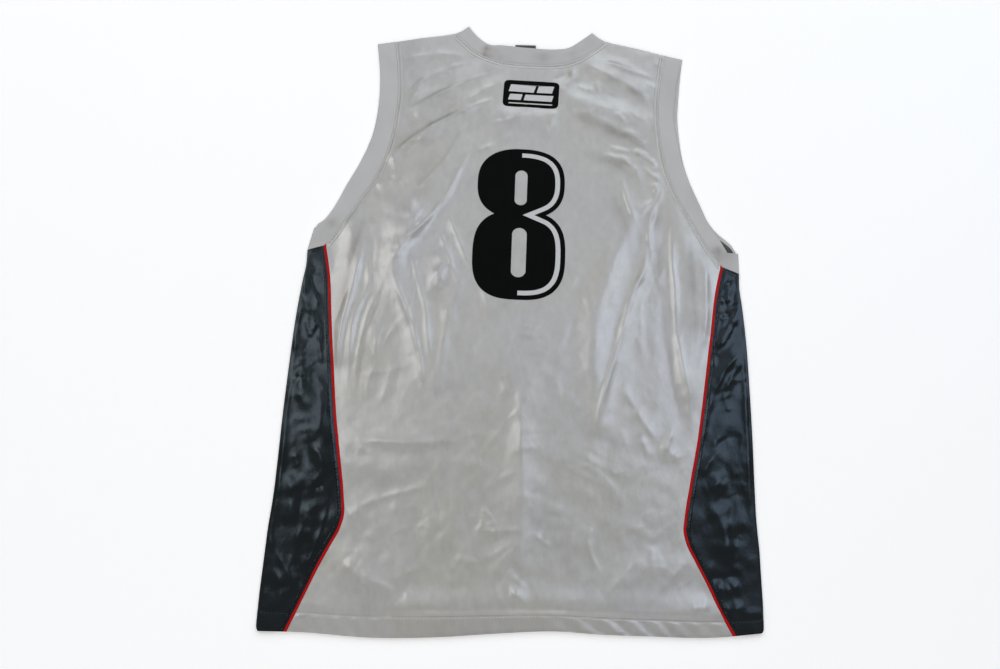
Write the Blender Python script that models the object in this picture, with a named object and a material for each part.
"""A sleeveless basketball jersey, laid flat on its front with its back up.

The garment is described as it is cut: a symmetrical pattern in millimetres, with x across from the
middle of the back and y up from the hem. Each piece is a sheet of cloth, a grid of points midway
through its wall, which is then thickened into a closed solid. The front pieces lie on the surface,
the back pieces lie on them, and the side panels and bands turn over the edges between the two.
"""

import math

import bmesh
import bpy
import numpy as np

MM = 0.001

# Cloth, in millimetres
CLOTH = 1.2
KNIT_BAND = 1.8
HEM_CLOTH = 2.0
SEAM_GAP = 0.3
UPPER_LEVEL = 2.4  # underside of the upper layer, above the surface
HEM_DEPTH = 20.0
HEM_STEP = 1.5  # length over which the turned hem thins to one cloth

# Where the middle of the laid garment's outline is, from the middle of the hem
MIDDLE_X = 0.0
MIDDLE_Y = 417.0

# The laid garment isn't quite square: the hem rises to the right, the shoulders fall to the right
TILT_HEM = 0.033
TILT_TOP = -0.021
TILT_REACH = 80.0
HEM_WAVE_REACH = 35.0

# Half widths by height above the hem
SIDE_ROWS = (
    # height, side fold, back piping, front piping
    (0, 302.0, 266.5, 281.0),
    (40, 302.5, 248.5, 284.0),
    (67, 302.0, 237.0, 287.0),
    (93, 301.5, 224.5, 290.0),
    (115, 301.0, 214.0, 292.0),
    (131, 300.0, 210.5, 292.5),
    (150, 299.0, 212.5, 292.5),
    (190, 298.5, 219.5, 290.0),
    (250, 298.5, 231.0, 286.0),
    (320, 297.5, 241.0, 281.0),
    (390, 295.5, 250.5, 276.0),
    (440, 292.0, 257.0, 271.0),
    (465, 289.5, 262.0, 268.0),
    (486, 290.0, 267.0, 267.0),
)
UNDERARM = 486.0  # height where the piping meets the armhole seam
UNDERARM_AT_FOLD = 478.0  # height where the armhole seam crosses the side fold

# Armhole seam of the back, from the piping to the shoulder
ARMHOLE_ROWS = (
    # x, y
    (267.0, 486.0),
    (256.0, 503.0),
    (242.0, 526.0),
    (224.0, 559.0),
    (209.0, 589.0),
    (196.5, 623.0),
    (189.5, 658.0),
    (186.0, 692.0),
    (185.5, 728.0),
    (189.5, 771.0),
    (195.5, 811.5),
)
FRONT_ARMHOLE_SHIFT = 5.5  # how far the front lies to the right of the back at mid armhole
SHOULDER_SEAM_DROP = 8.0  # the shoulder seam lies this far under the shoulder fold

# Free edges of the armhole bands, from the piping to the shoulder; the left front follows the left back
LEFT_FREE_ROWS = (
    # x, y
    (280.0, 510.5),
    (274.0, 515.0),
    (265.0, 528.0),
    (255.0, 552.0),
    (246.5, 575.0),
    (230.0, 613.0),
    (217.0, 653.0),
    (212.0, 691.0),
    (211.5, 730.0),
    (213.5, 758.0),
    (217.0, 784.0),
    (220.5, 806.1),
)
RIGHT_FREE_ROWS = (
    # x, y
    (275.0, 507.0),
    (271.5, 512.5),
    (265.0, 524.5),
    (254.5, 541.0),
    (240.0, 575.0),
    (226.5, 608.5),
    (216.5, 642.5),
    (210.0, 677.0),
    (206.5, 712.0),
    (208.5, 741.0),
    (212.5, 771.0),
    (220.5, 806.1),
)
RIGHT_FRONT_FREE_ROWS = (
    # x, y
    (281.0, 519.0),
    (273.0, 526.5),
    (263.5, 534.5),
    (252.0, 549.0),
    (240.0, 577.0),
    (227.0, 610.0),
    (218.0, 643.0),
    (214.0, 675.0),
    (212.0, 712.0),
    (214.0, 741.5),
    (217.0, 775.0),
    (220.5, 806.1),
)
BAND_AT_FOLD_LEFT = 22.0
BAND_AT_FOLD_RIGHT = 28.5

# Shoulder fold, from the neck tip to the armhole band's edge
SHOULDER_ROWS = (
    # x, y
    (88.0, 842.5),
    (107.0, 831.5),
    (122.0, 827.5),
    (158.0, 820.5),
    (195.5, 811.5),
    (221.0, 806.0),
)

# Neck seam of the back, from the middle to the shoulder
NECK_ROWS = (
    # x, y
    (0.0, 784.5),
    (20.0, 784.8),
    (44.0, 787.5),
    (60.0, 792.0),
    (72.0, 798.0),
    (82.0, 805.0),
    (92.0, 814.0),
    (100.0, 822.0),
    (107.0, 829.7),
)
NECKBAND_ROWS = (
    # share of the half neck, left width, right width
    (0.0, 28.0, 28.0),
    (0.4, 27.0, 25.0),
    (0.55, 22.0, 23.5),
    (0.75, 20.5, 23.5),
    (1.0, 22.0, 22.0),
)
# Neck seam of the front, from the middle to the shoulder
FRONT_NECK_ROWS = (
    # x, y
    (0.0, 688.0),
    (28.0, 691.0),
    (55.0, 704.0),
    (76.0, 727.0),
    (91.0, 758.0),
    (101.0, 792.0),
    (107.0, 821.0),
)
FRONT_NECKBAND = 27.0

# The hem's edge dips and rises a little along its length
HEM_WAVE_ROWS = (
    # x, change in height
    (-302.0, 2.0),
    (-250.0, 1.0),
    (-160.0, -5.0),
    (-80.0, -3.5),
    (-20.0, 0.5),
    (60.0, 3.5),
    (105.0, 0.5),
    (170.0, -1.5),
    (240.0, -2.5),
    (302.0, 3.0),
)

# The largest folds of the upper layer, in laid millimetres
FOLD_ROWS = (
    # start x, start y, end x, end y, bow, half width, height
    (-60, 786, -181, 698, 6, 15, 2.6),
    (-50, 752, -184, 634, 8, 17, 3.2),
    (-75, 650, -172, 474, -14, 17, 3.4),
    (-174, 470, -118, 318, 6, 20, 2.6),
    (-228, 522, -236, 344, 4, 15, 5.0),
    (-168, 585, -206, 300, 10, 22, 3.0),
    (74, 792, 178, 742, 4, 17, 3.2),
    (48, 742, 176, 694, -6, 20, 2.8),
    (-58, 700, 52, 714, -12, 16, 2.2),
    (205, 575, 220, 306, 16, 15, 4.2),
    (150, 556, 104, 262, -26, 17, 4.0),
    (245, 494, 247, 380, 0, 13, 2.4),
    (2, 318, 8, 40, 3, 20, 1.8),
    (-222, 206, -104, 208, -6, 22, 2.2),
    (-204, 78, -140, 28, 6, 18, 2.4),
    (112, 44, 186, 92, 6, 18, 2.4),
    (290, 372, 240, 290, -8, 14, 2.2),
    (-286, 300, -240, 190, 10, 16, 2.2),
    (-150, 26, 232, 40, 8, 12, 1.4),
)
FOLD_EDGE_FADE = 26.0  # the folds die out over this width at the sides and the shoulders

# Piping: a round cord in its own strip, standing a little proud of the seam
PIPING_WIDTH = 3.5
PIPING_RISE = 0.9
PIPING_SHOULDER = 0.9  # half width of the bead's flat top
PIPING_END_GAP = 1.0

# Label inside the back neck
LABEL_WIDTH = 30.0
LABEL_DEPTH = 20.0
LABEL_THICKNESS = 1.0
LABEL_MIDDLE_X = -6.0
LABEL_TOP_Y = 816.0
LABEL_TOP_Z = 2.1

# Grid sizes
HEM_STATIONS = (0.0, 10.0, HEM_DEPTH, HEM_DEPTH + HEM_STEP)
PIPING_SPANS = ((HEM_DEPTH + HEM_STEP, 108.0, 5), (108.0, 156.0, 5), (156.0, UNDERARM, 17))
ARMHOLE_STEPS = 16
SHOULDER_STEPS = 7
NECK_STEPS = 22
FRONT_NECK_STEPS = 20
SIDE_UPPER_STEPS = 4
TURN_ANGLES = tuple(math.radians(a) for a in (60, 30, 0, -30, -60))

COLOURS = {
    # name: colour, roughness
    "white_satin": ((0.46, 0.47, 0.46), 0.45),
    "dark_satin": ((0.035, 0.042, 0.055), 0.42),
    "knit_band": ((0.42, 0.42, 0.42), 0.85),
    "red_piping": ((0.28, 0.01, 0.01), 0.6),
    "grey_label": ((0.08, 0.09, 0.10), 0.7),
}


def clear_scene():
    """Removes every object of the scene."""
    for found in list(bpy.data.objects):
        bpy.data.objects.remove(found, do_unlink=True)


def material(name):
    """The named cloth's material, made once."""
    made = bpy.data.materials.get(name)
    if made is None:
        colour, roughness = COLOURS[name]
        made = bpy.data.materials.new(name)
        made.use_nodes = True
        shader = made.node_tree.nodes["Principled BSDF"]
        shader.inputs["Base Color"].default_value = (*colour, 1.0)
        shader.inputs["Roughness"].default_value = roughness
        shader.inputs["Metallic"].default_value = 0.0
    return made


# --- curves through the tables ---------------------------------------------------------------


def smooth_column(rows, column, at):
    """A table's column at the given values of its first column, on a smooth curve through its rows."""
    table = np.array(rows, float)
    xs, ys = table[:, 0], table[:, column]
    slopes = np.gradient(ys, xs)
    at = np.clip(at, xs[0], xs[-1])
    cell = np.clip(np.searchsorted(xs, at, side="right") - 1, 0, len(xs) - 2)
    width = xs[cell + 1] - xs[cell]
    t = (at - xs[cell]) / width
    value = (2 * t**3 - 3 * t**2 + 1) * ys[cell] + (3 * t**2 - 2 * t**3) * ys[cell + 1]
    bend = (t**3 - 2 * t**2 + t) * slopes[cell] + (t**3 - t**2) * slopes[cell + 1]
    return value + bend * width


def smooth_path(rows, steps):
    """Points a like distance apart along a smooth curve through the rows' x and y."""
    table = np.array(rows, float)
    lengths = np.concatenate([[0], np.cumsum(np.linalg.norm(np.diff(table, axis=0), axis=1))])
    at = np.linspace(0, lengths[-1], steps + 1)
    keyed = np.column_stack([lengths, table])
    return np.column_stack([smooth_column(keyed, 1, at), smooth_column(keyed, 2, at)])


def across(path):
    """Unit vectors square to a plan path, to the left of its run."""
    run = np.gradient(path, axis=0)
    run /= np.linalg.norm(run, axis=1)[:, None]
    return np.column_stack([-run[:, 1], run[:, 0]])


def lay(points):
    """Plan points of the cut garment as it lies: a little out of square, with an uneven hem."""
    points = np.asarray(points, float)
    x, y = points[..., 0], points[..., 1]
    tilt = TILT_TOP + (TILT_HEM - TILT_TOP) * np.exp(-y / TILT_REACH)
    wave = smooth_column(HEM_WAVE_ROWS, 1, x) * np.exp(-np.abs(y) / HEM_WAVE_REACH)
    return np.stack([x, y + x * tilt + wave], axis=-1)


def mirrored(points, side):
    """Plan points of the right half as they are on the given side, 1 for right and -1 for left."""
    return np.asarray(points, float) * (side, 1)


# --- the upper layer's relief ----------------------------------------------------------------


def fold_height(x, y, row):
    """Height of one fold: a rounded ridge along a bowed line, fading at its ends."""
    x0, y0, x1, y1, bow, half_width, height = row
    run = np.array([x1 - x0, y1 - y0], float)
    length = np.hypot(*run)
    run /= length
    along = ((x - x0) * run[0] + (y - y0) * run[1]) / length
    beside = (y - y0) * run[0] - (x - x0) * run[1]
    inside = np.clip(along, 0, 1)
    beside = beside - bow * np.sin(math.pi * inside)
    past = (along - inside) * length
    ends = np.sin(math.pi * np.clip(0.08 + 0.84 * inside, 0, 1)) ** 0.6
    return height * ends * np.exp(-((beside / half_width) ** 2) - (past / half_width) ** 2)


def edge_fade(x, y):
    """0 on the laid outline's turned edges, rising to 1 inside them."""
    from_side = smooth_column(SIDE_ROWS, 1, np.clip(y, 0, UNDERARM)) - np.abs(x)
    from_shoulder = smooth_column(SHOULDER_ROWS, 1, np.abs(x)) - y
    from_shoulder = np.where(np.abs(x) < NECK_ROWS[-1][0], 1e3, from_shoulder)
    nearest = np.minimum(np.where(y < UNDERARM, from_side, 1e3), from_shoulder)
    t = np.clip(nearest / FOLD_EDGE_FADE, 0, 1)
    return t * t * (3 - 2 * t)


def relief(plan):
    """How far the folds lift the upper layer at laid plan points."""
    x, y = plan[..., 0], plan[..., 1]
    total = sum(fold_height(x, y, row) for row in FOLD_ROWS)
    return total * edge_fade(x, y)


def wall(heights):
    """Thickness of a panel at these heights above the hem: the turned hem is thicker."""
    t = np.clip((np.asarray(heights, float) - HEM_DEPTH) / HEM_STEP, 0, 1)
    return HEM_CLOTH + (CLOTH - HEM_CLOTH) * t


# --- sheets ----------------------------------------------------------------------------------


class Sheet:
    """Points midway through a cloth, each with its outward normal and thickness, and the faces."""

    def __init__(self):
        self.points, self.normals, self.thickness, self.faces = [], [], [], []

    def add(self, plan, z, normal, thickness):
        """Adds one point and returns its index."""
        self.points.append((plan[0], plan[1], z))
        self.normals.append(normal)
        self.thickness.append(thickness)
        return len(self.points) - 1

    def add_upper(self, plan, thickness):
        """Adds a point of the upper layer, lifted by the folds."""
        z = UPPER_LEVEL + thickness / 2 + float(relief(np.asarray(plan, float)))
        return self.add(plan, z, (0, 0, 1), thickness)

    def add_lower(self, plan, thickness):
        """Adds a point of the lower layer, whose outer side lies on the surface."""
        return self.add(plan, thickness / 2, (0, 0, -1), thickness)

    def add_turn(self, edge, outward, thickness):
        """Adds the points of a turn from the upper layer to the lower one, and returns their indices.

        The first and last are where the flat layers begin; edge is the outermost plan point.
        """
        top = UPPER_LEVEL + thickness / 2
        bottom = thickness / 2
        radius = (top - bottom) / 2
        centre = (top + bottom) / 2
        reach = radius + thickness / 2
        made = []
        for angle in (math.pi / 2, *TURN_ANGLES, -math.pi / 2):
            offset = radius * math.cos(angle) - reach
            plan = (edge[0] + outward[0] * offset, edge[1] + outward[1] * offset)
            normal = (outward[0] * math.cos(angle), outward[1] * math.cos(angle), math.sin(angle))
            made.append(self.add(plan, centre + radius * math.sin(angle), normal, thickness))
        return made

    def skin(self, lines, closed=False, flipped=False):
        """Joins successive lines of indices with four-sided faces."""
        pairs = list(zip(lines, lines[1:]))
        if closed:
            pairs.append((lines[-1], lines[0]))
        for low, high in pairs:
            for j in range(len(low) - 1):
                face = (low[j], low[j + 1], high[j + 1], high[j])
                self.faces.append(face[::-1] if flipped else face)

    def build(self, name, cloth):
        """Thickens the sheet into a closed solid object."""
        points = np.array(self.points)
        half = np.array(self.normals) * np.array(self.thickness)[:, None] / 2
        count = len(points)
        faces = list(self.faces)
        faces += [tuple(i + count for i in reversed(face)) for face in self.faces]
        rim = {}
        for face in self.faces:
            for a, b in zip(face, face[1:] + face[:1]):
                if (b, a) in rim:
                    del rim[(b, a)]
                else:
                    rim[(a, b)] = True
        faces += [(b, a, a + count, b + count) for a, b in rim]
        return add_object(name, np.concatenate([points + half, points - half]), faces, cloth)


def add_object(name, points, faces, cloth):
    """A smooth-shaded mesh object from millimetre points, with its origin under the garment's middle."""
    placed = (np.asarray(points) - (MIDDLE_X, MIDDLE_Y, 0)) * MM
    mesh = bpy.data.meshes.new(name)
    mesh.from_pydata([tuple(p) for p in placed], [], faces)
    mesh.validate()
    mesh.shade_smooth()
    mesh.set_sharp_from_angle(angle=math.radians(50))
    mesh.materials.append(material(cloth))
    made = bpy.data.objects.new(name, mesh)
    bpy.context.scene.collection.objects.link(made)
    return made


# --- seam lines of the cut garment -----------------------------------------------------------


def station_heights():
    """Heights of the rows that the panels and the piping share, closest at the hem and the bend."""
    spans = [np.linspace(a, b, n + 1)[1:] for a, b, n in PIPING_SPANS]
    return np.concatenate([HEM_STATIONS, *spans])


def piping_line(column):
    """Right half's piping, by rows: plan points of the back (column 2) or front (column 3) seam."""
    heights = station_heights()
    return np.column_stack([smooth_column(SIDE_ROWS, column, heights), heights])


def moved_level(line, distance):
    """A right-half seam line moved square to itself towards the middle, each point at its own height."""
    slope = np.gradient(line[:, 0], line[:, 1])
    return np.column_stack([line[:, 0] - distance * np.hypot(1, slope), line[:, 1]])


def beside_piping(line, side_of_line):
    """The panel's edge along a piping, 1 for the middle's side and -1 for the fold's side."""
    return moved_level(line, side_of_line * (PIPING_WIDTH / 2 + SEAM_GAP))


def side_fold_line():
    """Right half's side fold, by the same rows as the piping."""
    heights = station_heights()
    return np.column_stack(
        [smooth_column(SIDE_ROWS, 1, heights), heights * UNDERARM_AT_FOLD / UNDERARM]
    )


def armhole_seam(side, front=False):
    """Armhole seam from the piping to where the shoulder turns, on the given side."""
    seam = smooth_path(ARMHOLE_ROWS, ARMHOLE_STEPS)
    seam[-1, 1] -= turn_reach(CLOTH)
    seam = mirrored(seam, side)
    if front:
        seam[:, 0] += front_shift(seam)
    return seam


def turn_reach(thickness):
    """How far inside an outer edge the flat layers begin to turn."""
    return UPPER_LEVEL / 2 + thickness / 2


def shoulder_line(side):
    """Shoulder fold from the neck seam to the armhole seam, on the given side."""
    xs = np.linspace(NECK_ROWS[-1][0], ARMHOLE_ROWS[-1][0], SHOULDER_STEPS + 1)
    line = np.column_stack([xs, np.interp(xs, *np.array(SHOULDER_ROWS).T)])
    return mirrored(line, side)


def neck_seam(rows, steps):
    """Neck seam from the left shoulder to the right one."""
    half = smooth_path(rows, steps // 2)
    return np.concatenate([mirrored(half[:0:-1], -1), half])


def corner_on_armhole(line, seam):
    """The panel's corner where its piping edge meets the armhole seam."""
    run = seam[1] - seam[0]
    return seam[0] + run * abs((line[-1, 0] - seam[0, 0]) / run[0])


# --- panels ----------------------------------------------------------------------------------


def coons(left, right, low, high):
    """A grid of plan points between four edges that meet at their corners."""
    v = np.linspace(0, 1, len(left))[:, None, None]
    u = np.linspace(0, 1, len(low))[None, :, None]
    sides = (1 - u) * left[:, None] + u * right[:, None]
    ends = (1 - v) * low[None] + v * high[None]
    corners = (1 - v) * ((1 - u) * low[0] + u * low[-1]) + v * ((1 - u) * high[0] + u * high[-1])
    return sides + ends - corners


def back_edge(side):
    """The back's edge from the hem, up the piping and the armhole, to the shoulder."""
    seam = armhole_seam(side)
    line = mirrored(beside_piping(piping_line(2), 1), side)
    line[-1] = corner_on_armhole(line, seam)
    return np.concatenate([line, seam[1:]])


def back_top():
    """The back's upper edge: shoulder, neck seam, shoulder."""
    left = shoulder_line(-1)[::-1] - (0, turn_reach(CLOTH))
    right = shoulder_line(1) - (0, turn_reach(CLOTH))
    neck = neck_seam(NECK_ROWS, NECK_STEPS)
    return np.concatenate([left[:-1], neck, right[1:]])


def back_panel():
    """The back: one grid from hem to neck, with flaps turned over both shoulders."""
    sheet = Sheet()
    left, right, top = back_edge(-1), back_edge(1), back_top()
    top[0], top[-1] = left[-1], right[-1]
    low = np.linspace(left[0], right[0], len(top))
    grid = coons(left, right, low, top)
    heights = grid[..., 1]
    heights[: len(HEM_STATIONS)] = station_heights()[: len(HEM_STATIONS), None]
    laid = lay(grid)
    lines = [
        [sheet.add_upper(p, t) for p, t in zip(row, wall(heights[i]))] for i, row in enumerate(laid)
    ]
    sheet.skin(lines)
    for columns, side in ((range(SHOULDER_STEPS + 1), -1), (range(-SHOULDER_STEPS - 1, 0), 1)):
        add_shoulder_flap(sheet, [lines[-1][j] for j in columns], side)
    return sheet.build("back_panel", "white_satin")


def add_shoulder_flap(sheet, first_line, side):
    """Turns the back over one shoulder and runs it on to the shoulder seam underneath."""
    edge = lay(shoulder_line(side)[::side])
    turns = [sheet.add_turn(p, (0, 1), CLOTH)[1:] for p in edge]
    lines = [list(line) for line in zip(*turns)]
    seam = shoulder_seam(side, SHOULDER_SEAM_DROP)[::side]
    under = [sheet.add_lower(p, CLOTH) for p in lay(seam)]
    sheet.skin([first_line, *lines, under])


def shoulder_seam(side, drop):
    """The seam under the shoulder, this far below where the cloth has turned, from neck to armhole."""
    line = shoulder_line(side) - (0, turn_reach(CLOTH) + drop)
    armhole = armhole_seam(side, front=True)
    line[-1, 0] = np.interp(line[-1, 1], armhole[:, 1], armhole[:, 0])
    return line


def front_edge(side):
    """The front's edge from the hem, up the piping and the armhole, to the shoulder seam."""
    seam = armhole_seam(side, front=True)
    line = mirrored(beside_piping(piping_line(3), 1), side)
    line[-1] = corner_on_armhole(line, seam)
    corner = shoulder_seam(side, SHOULDER_SEAM_DROP + SEAM_GAP)[-1]
    return np.concatenate([line, seam[1:-1], [corner]])


def front_panel():
    """The front: a hem strip and one flat face above it, all lying on the surface."""
    sheet = Sheet()
    left, right = front_edge(-1), front_edge(1)
    neck = neck_seam(FRONT_NECK_ROWS, FRONT_NECK_STEPS)
    shoulders = [shoulder_seam(side, SHOULDER_SEAM_DROP + SEAM_GAP)[1:-1] for side in (-1, 1)]
    top = np.concatenate([shoulders[0][::-1], neck, shoulders[1]])
    hem_rows = len(HEM_STATIONS)
    columns = 12
    lines = []
    for i in range(hem_rows):
        row = lay(np.linspace(left[i], right[i], columns + 1))
        thickness = float(wall(station_heights()[i]))
        lines.append([sheet.add_lower(p, thickness) for p in row])
    sheet.skin(lines, flipped=True)
    up_right = [sheet.add_lower(p, CLOTH) for p in lay(right[hem_rows:])]
    over = [sheet.add_lower(p, CLOTH) for p in lay(top[::-1])]
    down_left = [sheet.add_lower(p, CLOTH) for p in lay(left[:hem_rows - 1:-1])]
    loop = [*lines[-1], *up_right, *over, *down_left]
    sheet.faces.append(tuple(loop[::-1]))
    return sheet.build("front_panel", "white_satin")


def side_panel(side, name):
    """A side panel: from the back piping, round the side fold, to the front piping."""
    sheet = Sheet()
    fold = side_fold_line()
    back = beside_piping(piping_line(2), -1)
    front = beside_piping(piping_line(3), -1)
    back[-1] = np.array(back[-1]) + (0, underarm_seam_y(back[-1, 0]) - back[-1, 1])
    front[-1] = np.array(front[-1]) + (0, underarm_seam_y(front[-1, 0]) - front[-1, 1])
    lines = []
    for height, start, edge, end in zip(station_heights(), back, fold, front):
        thickness = float(wall(height))
        inner = edge - (turn_reach(thickness), 0)
        upper = lay(mirrored(np.linspace(start, inner, SIDE_UPPER_STEPS + 1)[:-1], side))
        line = [sheet.add_upper(p, thickness) for p in upper]
        line += sheet.add_turn(lay(mirrored(edge, side)), (side, 0), thickness)
        line.append(sheet.add_lower(lay(mirrored(end, side)), thickness))
        lines.append(line)
    sheet.skin(lines, flipped=side < 0)
    return sheet.build(name, "dark_satin")


def underarm_seam_y(x):
    """Height of the armhole seam near the piping and across the side panel, at a right-half x."""
    inner, corner = ARMHOLE_ROWS[1], ARMHOLE_ROWS[0]
    xs = (inner[0], corner[0], SIDE_ROWS[-1][1])
    return np.interp(x, xs, (inner[1], corner[1], UNDERARM_AT_FOLD))


# --- bands -----------------------------------------------------------------------------------


def armhole_band(side, name):
    """An armhole band: a closed ring of knit, from its seam to its free edge."""
    sheet = Sheet()
    lines = band_lines(sheet, sheet.add_upper, armhole_seam(side), free_edge(side))
    lines += shoulder_turn(sheet, side)
    front = armhole_seam(side, front=True)
    lines += band_lines(sheet, sheet.add_lower, front, free_edge(side, front=True))[::-1]
    lines += underarm_turn(sheet, side)
    sheet.skin(lines, closed=True, flipped=side < 0)
    return sheet.build(name, "knit_band")


def free_edge(side, front=False):
    """Free edge of an armhole band from the piping to where the shoulder turns, on the given side."""
    if side < 0:
        rows = LEFT_FREE_ROWS
    elif front:
        rows = RIGHT_FRONT_FREE_ROWS
    else:
        rows = RIGHT_FREE_ROWS
    edge = smooth_path(rows, ARMHOLE_STEPS)
    edge[-1, 1] -= turn_reach(CLOTH)
    edge = mirrored(edge, side)
    if front and side < 0:
        edge[:, 0] += front_shift(edge)
    return edge


def front_shift(line):
    """How far the front lies to the right of the back along an armhole line."""
    rise = np.clip((line[:, 1] - line[0, 1]) / (line[-1, 1] - line[0, 1]), 0, 1)
    return FRONT_ARMHOLE_SHIFT * np.sin(math.pi * rise)


def band_points(seam_point, free_point):
    """Three plan points across a band, the first clear of its seam."""
    run = free_point - seam_point
    shares = (SEAM_GAP / np.linalg.norm(run), 0.5, 1.0)
    return lay([seam_point + run * share for share in shares])


def band_lines(sheet, add, seam, edge):
    """Lines of three points across a band between its seam and its free edge."""
    return [[add(p, KNIT_BAND) for p in band_points(a, b)] for a, b in zip(seam, edge)]


def shoulder_turn(sheet, side):
    """The band's lines where it turns over the shoulder."""
    ends = [np.array(rows[-1]) * (side, 1) for rows in (ARMHOLE_ROWS, LEFT_FREE_ROWS)]
    turns = [sheet.add_turn(p, (0, 1), KNIT_BAND)[1:-1] for p in band_points(*ends)]
    return [list(line) for line in zip(*turns)]


def underarm_turn(sheet, side):
    """The band's lines under the arm: front layer, round the side fold, back layer."""
    width = BAND_AT_FOLD_LEFT if side < 0 else BAND_AT_FOLD_RIGHT
    seam = np.array([SIDE_ROWS[-1][1], UNDERARM_AT_FOLD]) * (side, 1)
    points = band_points(seam, seam + (0, width))
    turns = [sheet.add_turn(p, (side, 0), KNIT_BAND)[::-1] for p in points]
    return [list(line) for line in zip(*turns)]


def neckband():
    """The neckband: a closed ring of knit round the neck."""
    sheet = Sheet()
    back = neck_seam(NECK_ROWS, NECK_STEPS)
    share = np.abs(np.linspace(-1, 1, NECK_STEPS + 1))
    left = smooth_column(NECKBAND_ROWS, 1, share)
    right = smooth_column(NECKBAND_ROWS, 2, share)
    widths = np.where(back[:, 0] < 0, left, right)
    lines = neckband_lines(sheet, sheet.add_upper, back, widths)
    lines += neck_turn(sheet, 1)
    front = neck_seam(FRONT_NECK_ROWS, FRONT_NECK_STEPS)
    front_widths = np.full(len(front), FRONT_NECKBAND)
    front_widths[[0, -1]] = widths[-1]
    lines += neckband_lines(sheet, sheet.add_lower, front, front_widths)[::-1]
    lines += neck_turn(sheet, -1)[::-1]
    sheet.skin(lines, closed=True, flipped=True)
    return sheet.build("neckband", "knit_band")


def neckband_lines(sheet, add, seam, widths):
    """Lines of three points across the neckband, along the left-to-right neck seam."""
    inward = across(seam)
    inward[0] = neck_tip_direction(-1)
    inward[-1] = neck_tip_direction(1)
    lines = []
    for point, direction, width in zip(seam, inward, widths):
        offsets = (SEAM_GAP, width / 2, width)
        lines.append([add(p, KNIT_BAND) for p in lay([point + direction * o for o in offsets])])
    return lines


def neck_tip_direction(side):
    """Unit plan vector up the shoulder fold's steep end, across the neckband."""
    run = np.array(SHOULDER_ROWS[0]) - np.array(SHOULDER_ROWS[1])
    return run / np.linalg.norm(run) * (side, 1)


def neck_turn(sheet, side):
    """The neckband's lines where it turns over a shoulder."""
    seam = np.array(SHOULDER_ROWS[1]) * (side, 1)
    direction = neck_tip_direction(side)
    width = NECKBAND_ROWS[-1][1]
    turns = []
    for offset in (SEAM_GAP, width / 2, width):
        turns.append(sheet.add_turn(lay(seam + direction * offset), (0, 1), KNIT_BAND)[1:-1])
    return [list(line) for line in zip(*turns)]


# --- trim ------------------------------------------------------------------------------------


def piping(side, front, name):
    """A piping bead in a side seam, from the hem to the armhole band."""
    line = piping_line(3 if front else 2)
    middle = lay(mirrored(line, side))
    thickness = CLOTH if front else wall(station_heights())
    base = np.zeros(len(line)) if front else UPPER_LEVEL + relief(middle)
    rings = []
    for offset, over in bead_section():
        edge = moved_level(line, -offset)
        edge[-1, 1] = underarm_seam_y(edge[-1, 0]) - PIPING_END_GAP
        edge = lay(mirrored(edge, side))
        height = base + (thickness + over if over else 0)
        rings.append(np.column_stack([edge, height]))
    return add_bead(name, rings, side)


def bead_section():
    """Offsets across a bead and heights over the cloth, once round it; 0 is the cloth's underside."""
    half = PIPING_WIDTH / 2
    low = PIPING_RISE / 3
    return (
        (half, 0),
        (half, low),
        (PIPING_SHOULDER, PIPING_RISE),
        (-PIPING_SHOULDER, PIPING_RISE),
        (-half, low),
        (-half, 0),
    )


def add_bead(name, rings, side):
    """A closed bead through rings of points, with flat ends."""
    around, along = len(rings), len(rings[0])
    faces = []
    for i in range(around):
        k = (i + 1) % around
        for j in range(along - 1):
            face = (i * along + j, k * along + j, k * along + j + 1, i * along + j + 1)
            faces.append(face[::-1] if side > 0 else face)
    start = tuple(i * along for i in range(around))
    end = tuple(i * along + along - 1 for i in range(around))
    faces.append(start if side > 0 else start[::-1])
    faces.append(end[::-1] if side > 0 else end)
    return add_object(name, np.concatenate(rings), faces, "red_piping")


def neck_label():
    """The folded label sewn inside the back neck, standing a little above the band's edge."""
    mesh = bmesh.new()
    bmesh.ops.create_cube(mesh, size=1.0)
    size = np.array([LABEL_WIDTH, LABEL_DEPTH, LABEL_THICKNESS])
    middle = np.array([LABEL_MIDDLE_X, LABEL_TOP_Y, LABEL_TOP_Z]) - size * (0, 0.5, 0.5)
    points = [np.array(v.co) * size + middle for v in mesh.verts]
    mesh.verts.index_update()
    faces = [tuple(v.index for v in face.verts) for face in mesh.faces]
    mesh.free()
    return add_object("neck_label", points, faces, "grey_label")


def main():
    """Builds the jersey."""
    clear_scene()
    back_panel()
    front_panel()
    for side, word in ((-1, "left"), (1, "right")):
        side_panel(side, f"side_panel_{word}")
        armhole_band(side, f"armhole_band_{word}")
        piping(side, False, f"piping_back_{word}")
        piping(side, True, f"piping_front_{word}")
    neckband()
    neck_label()


main()
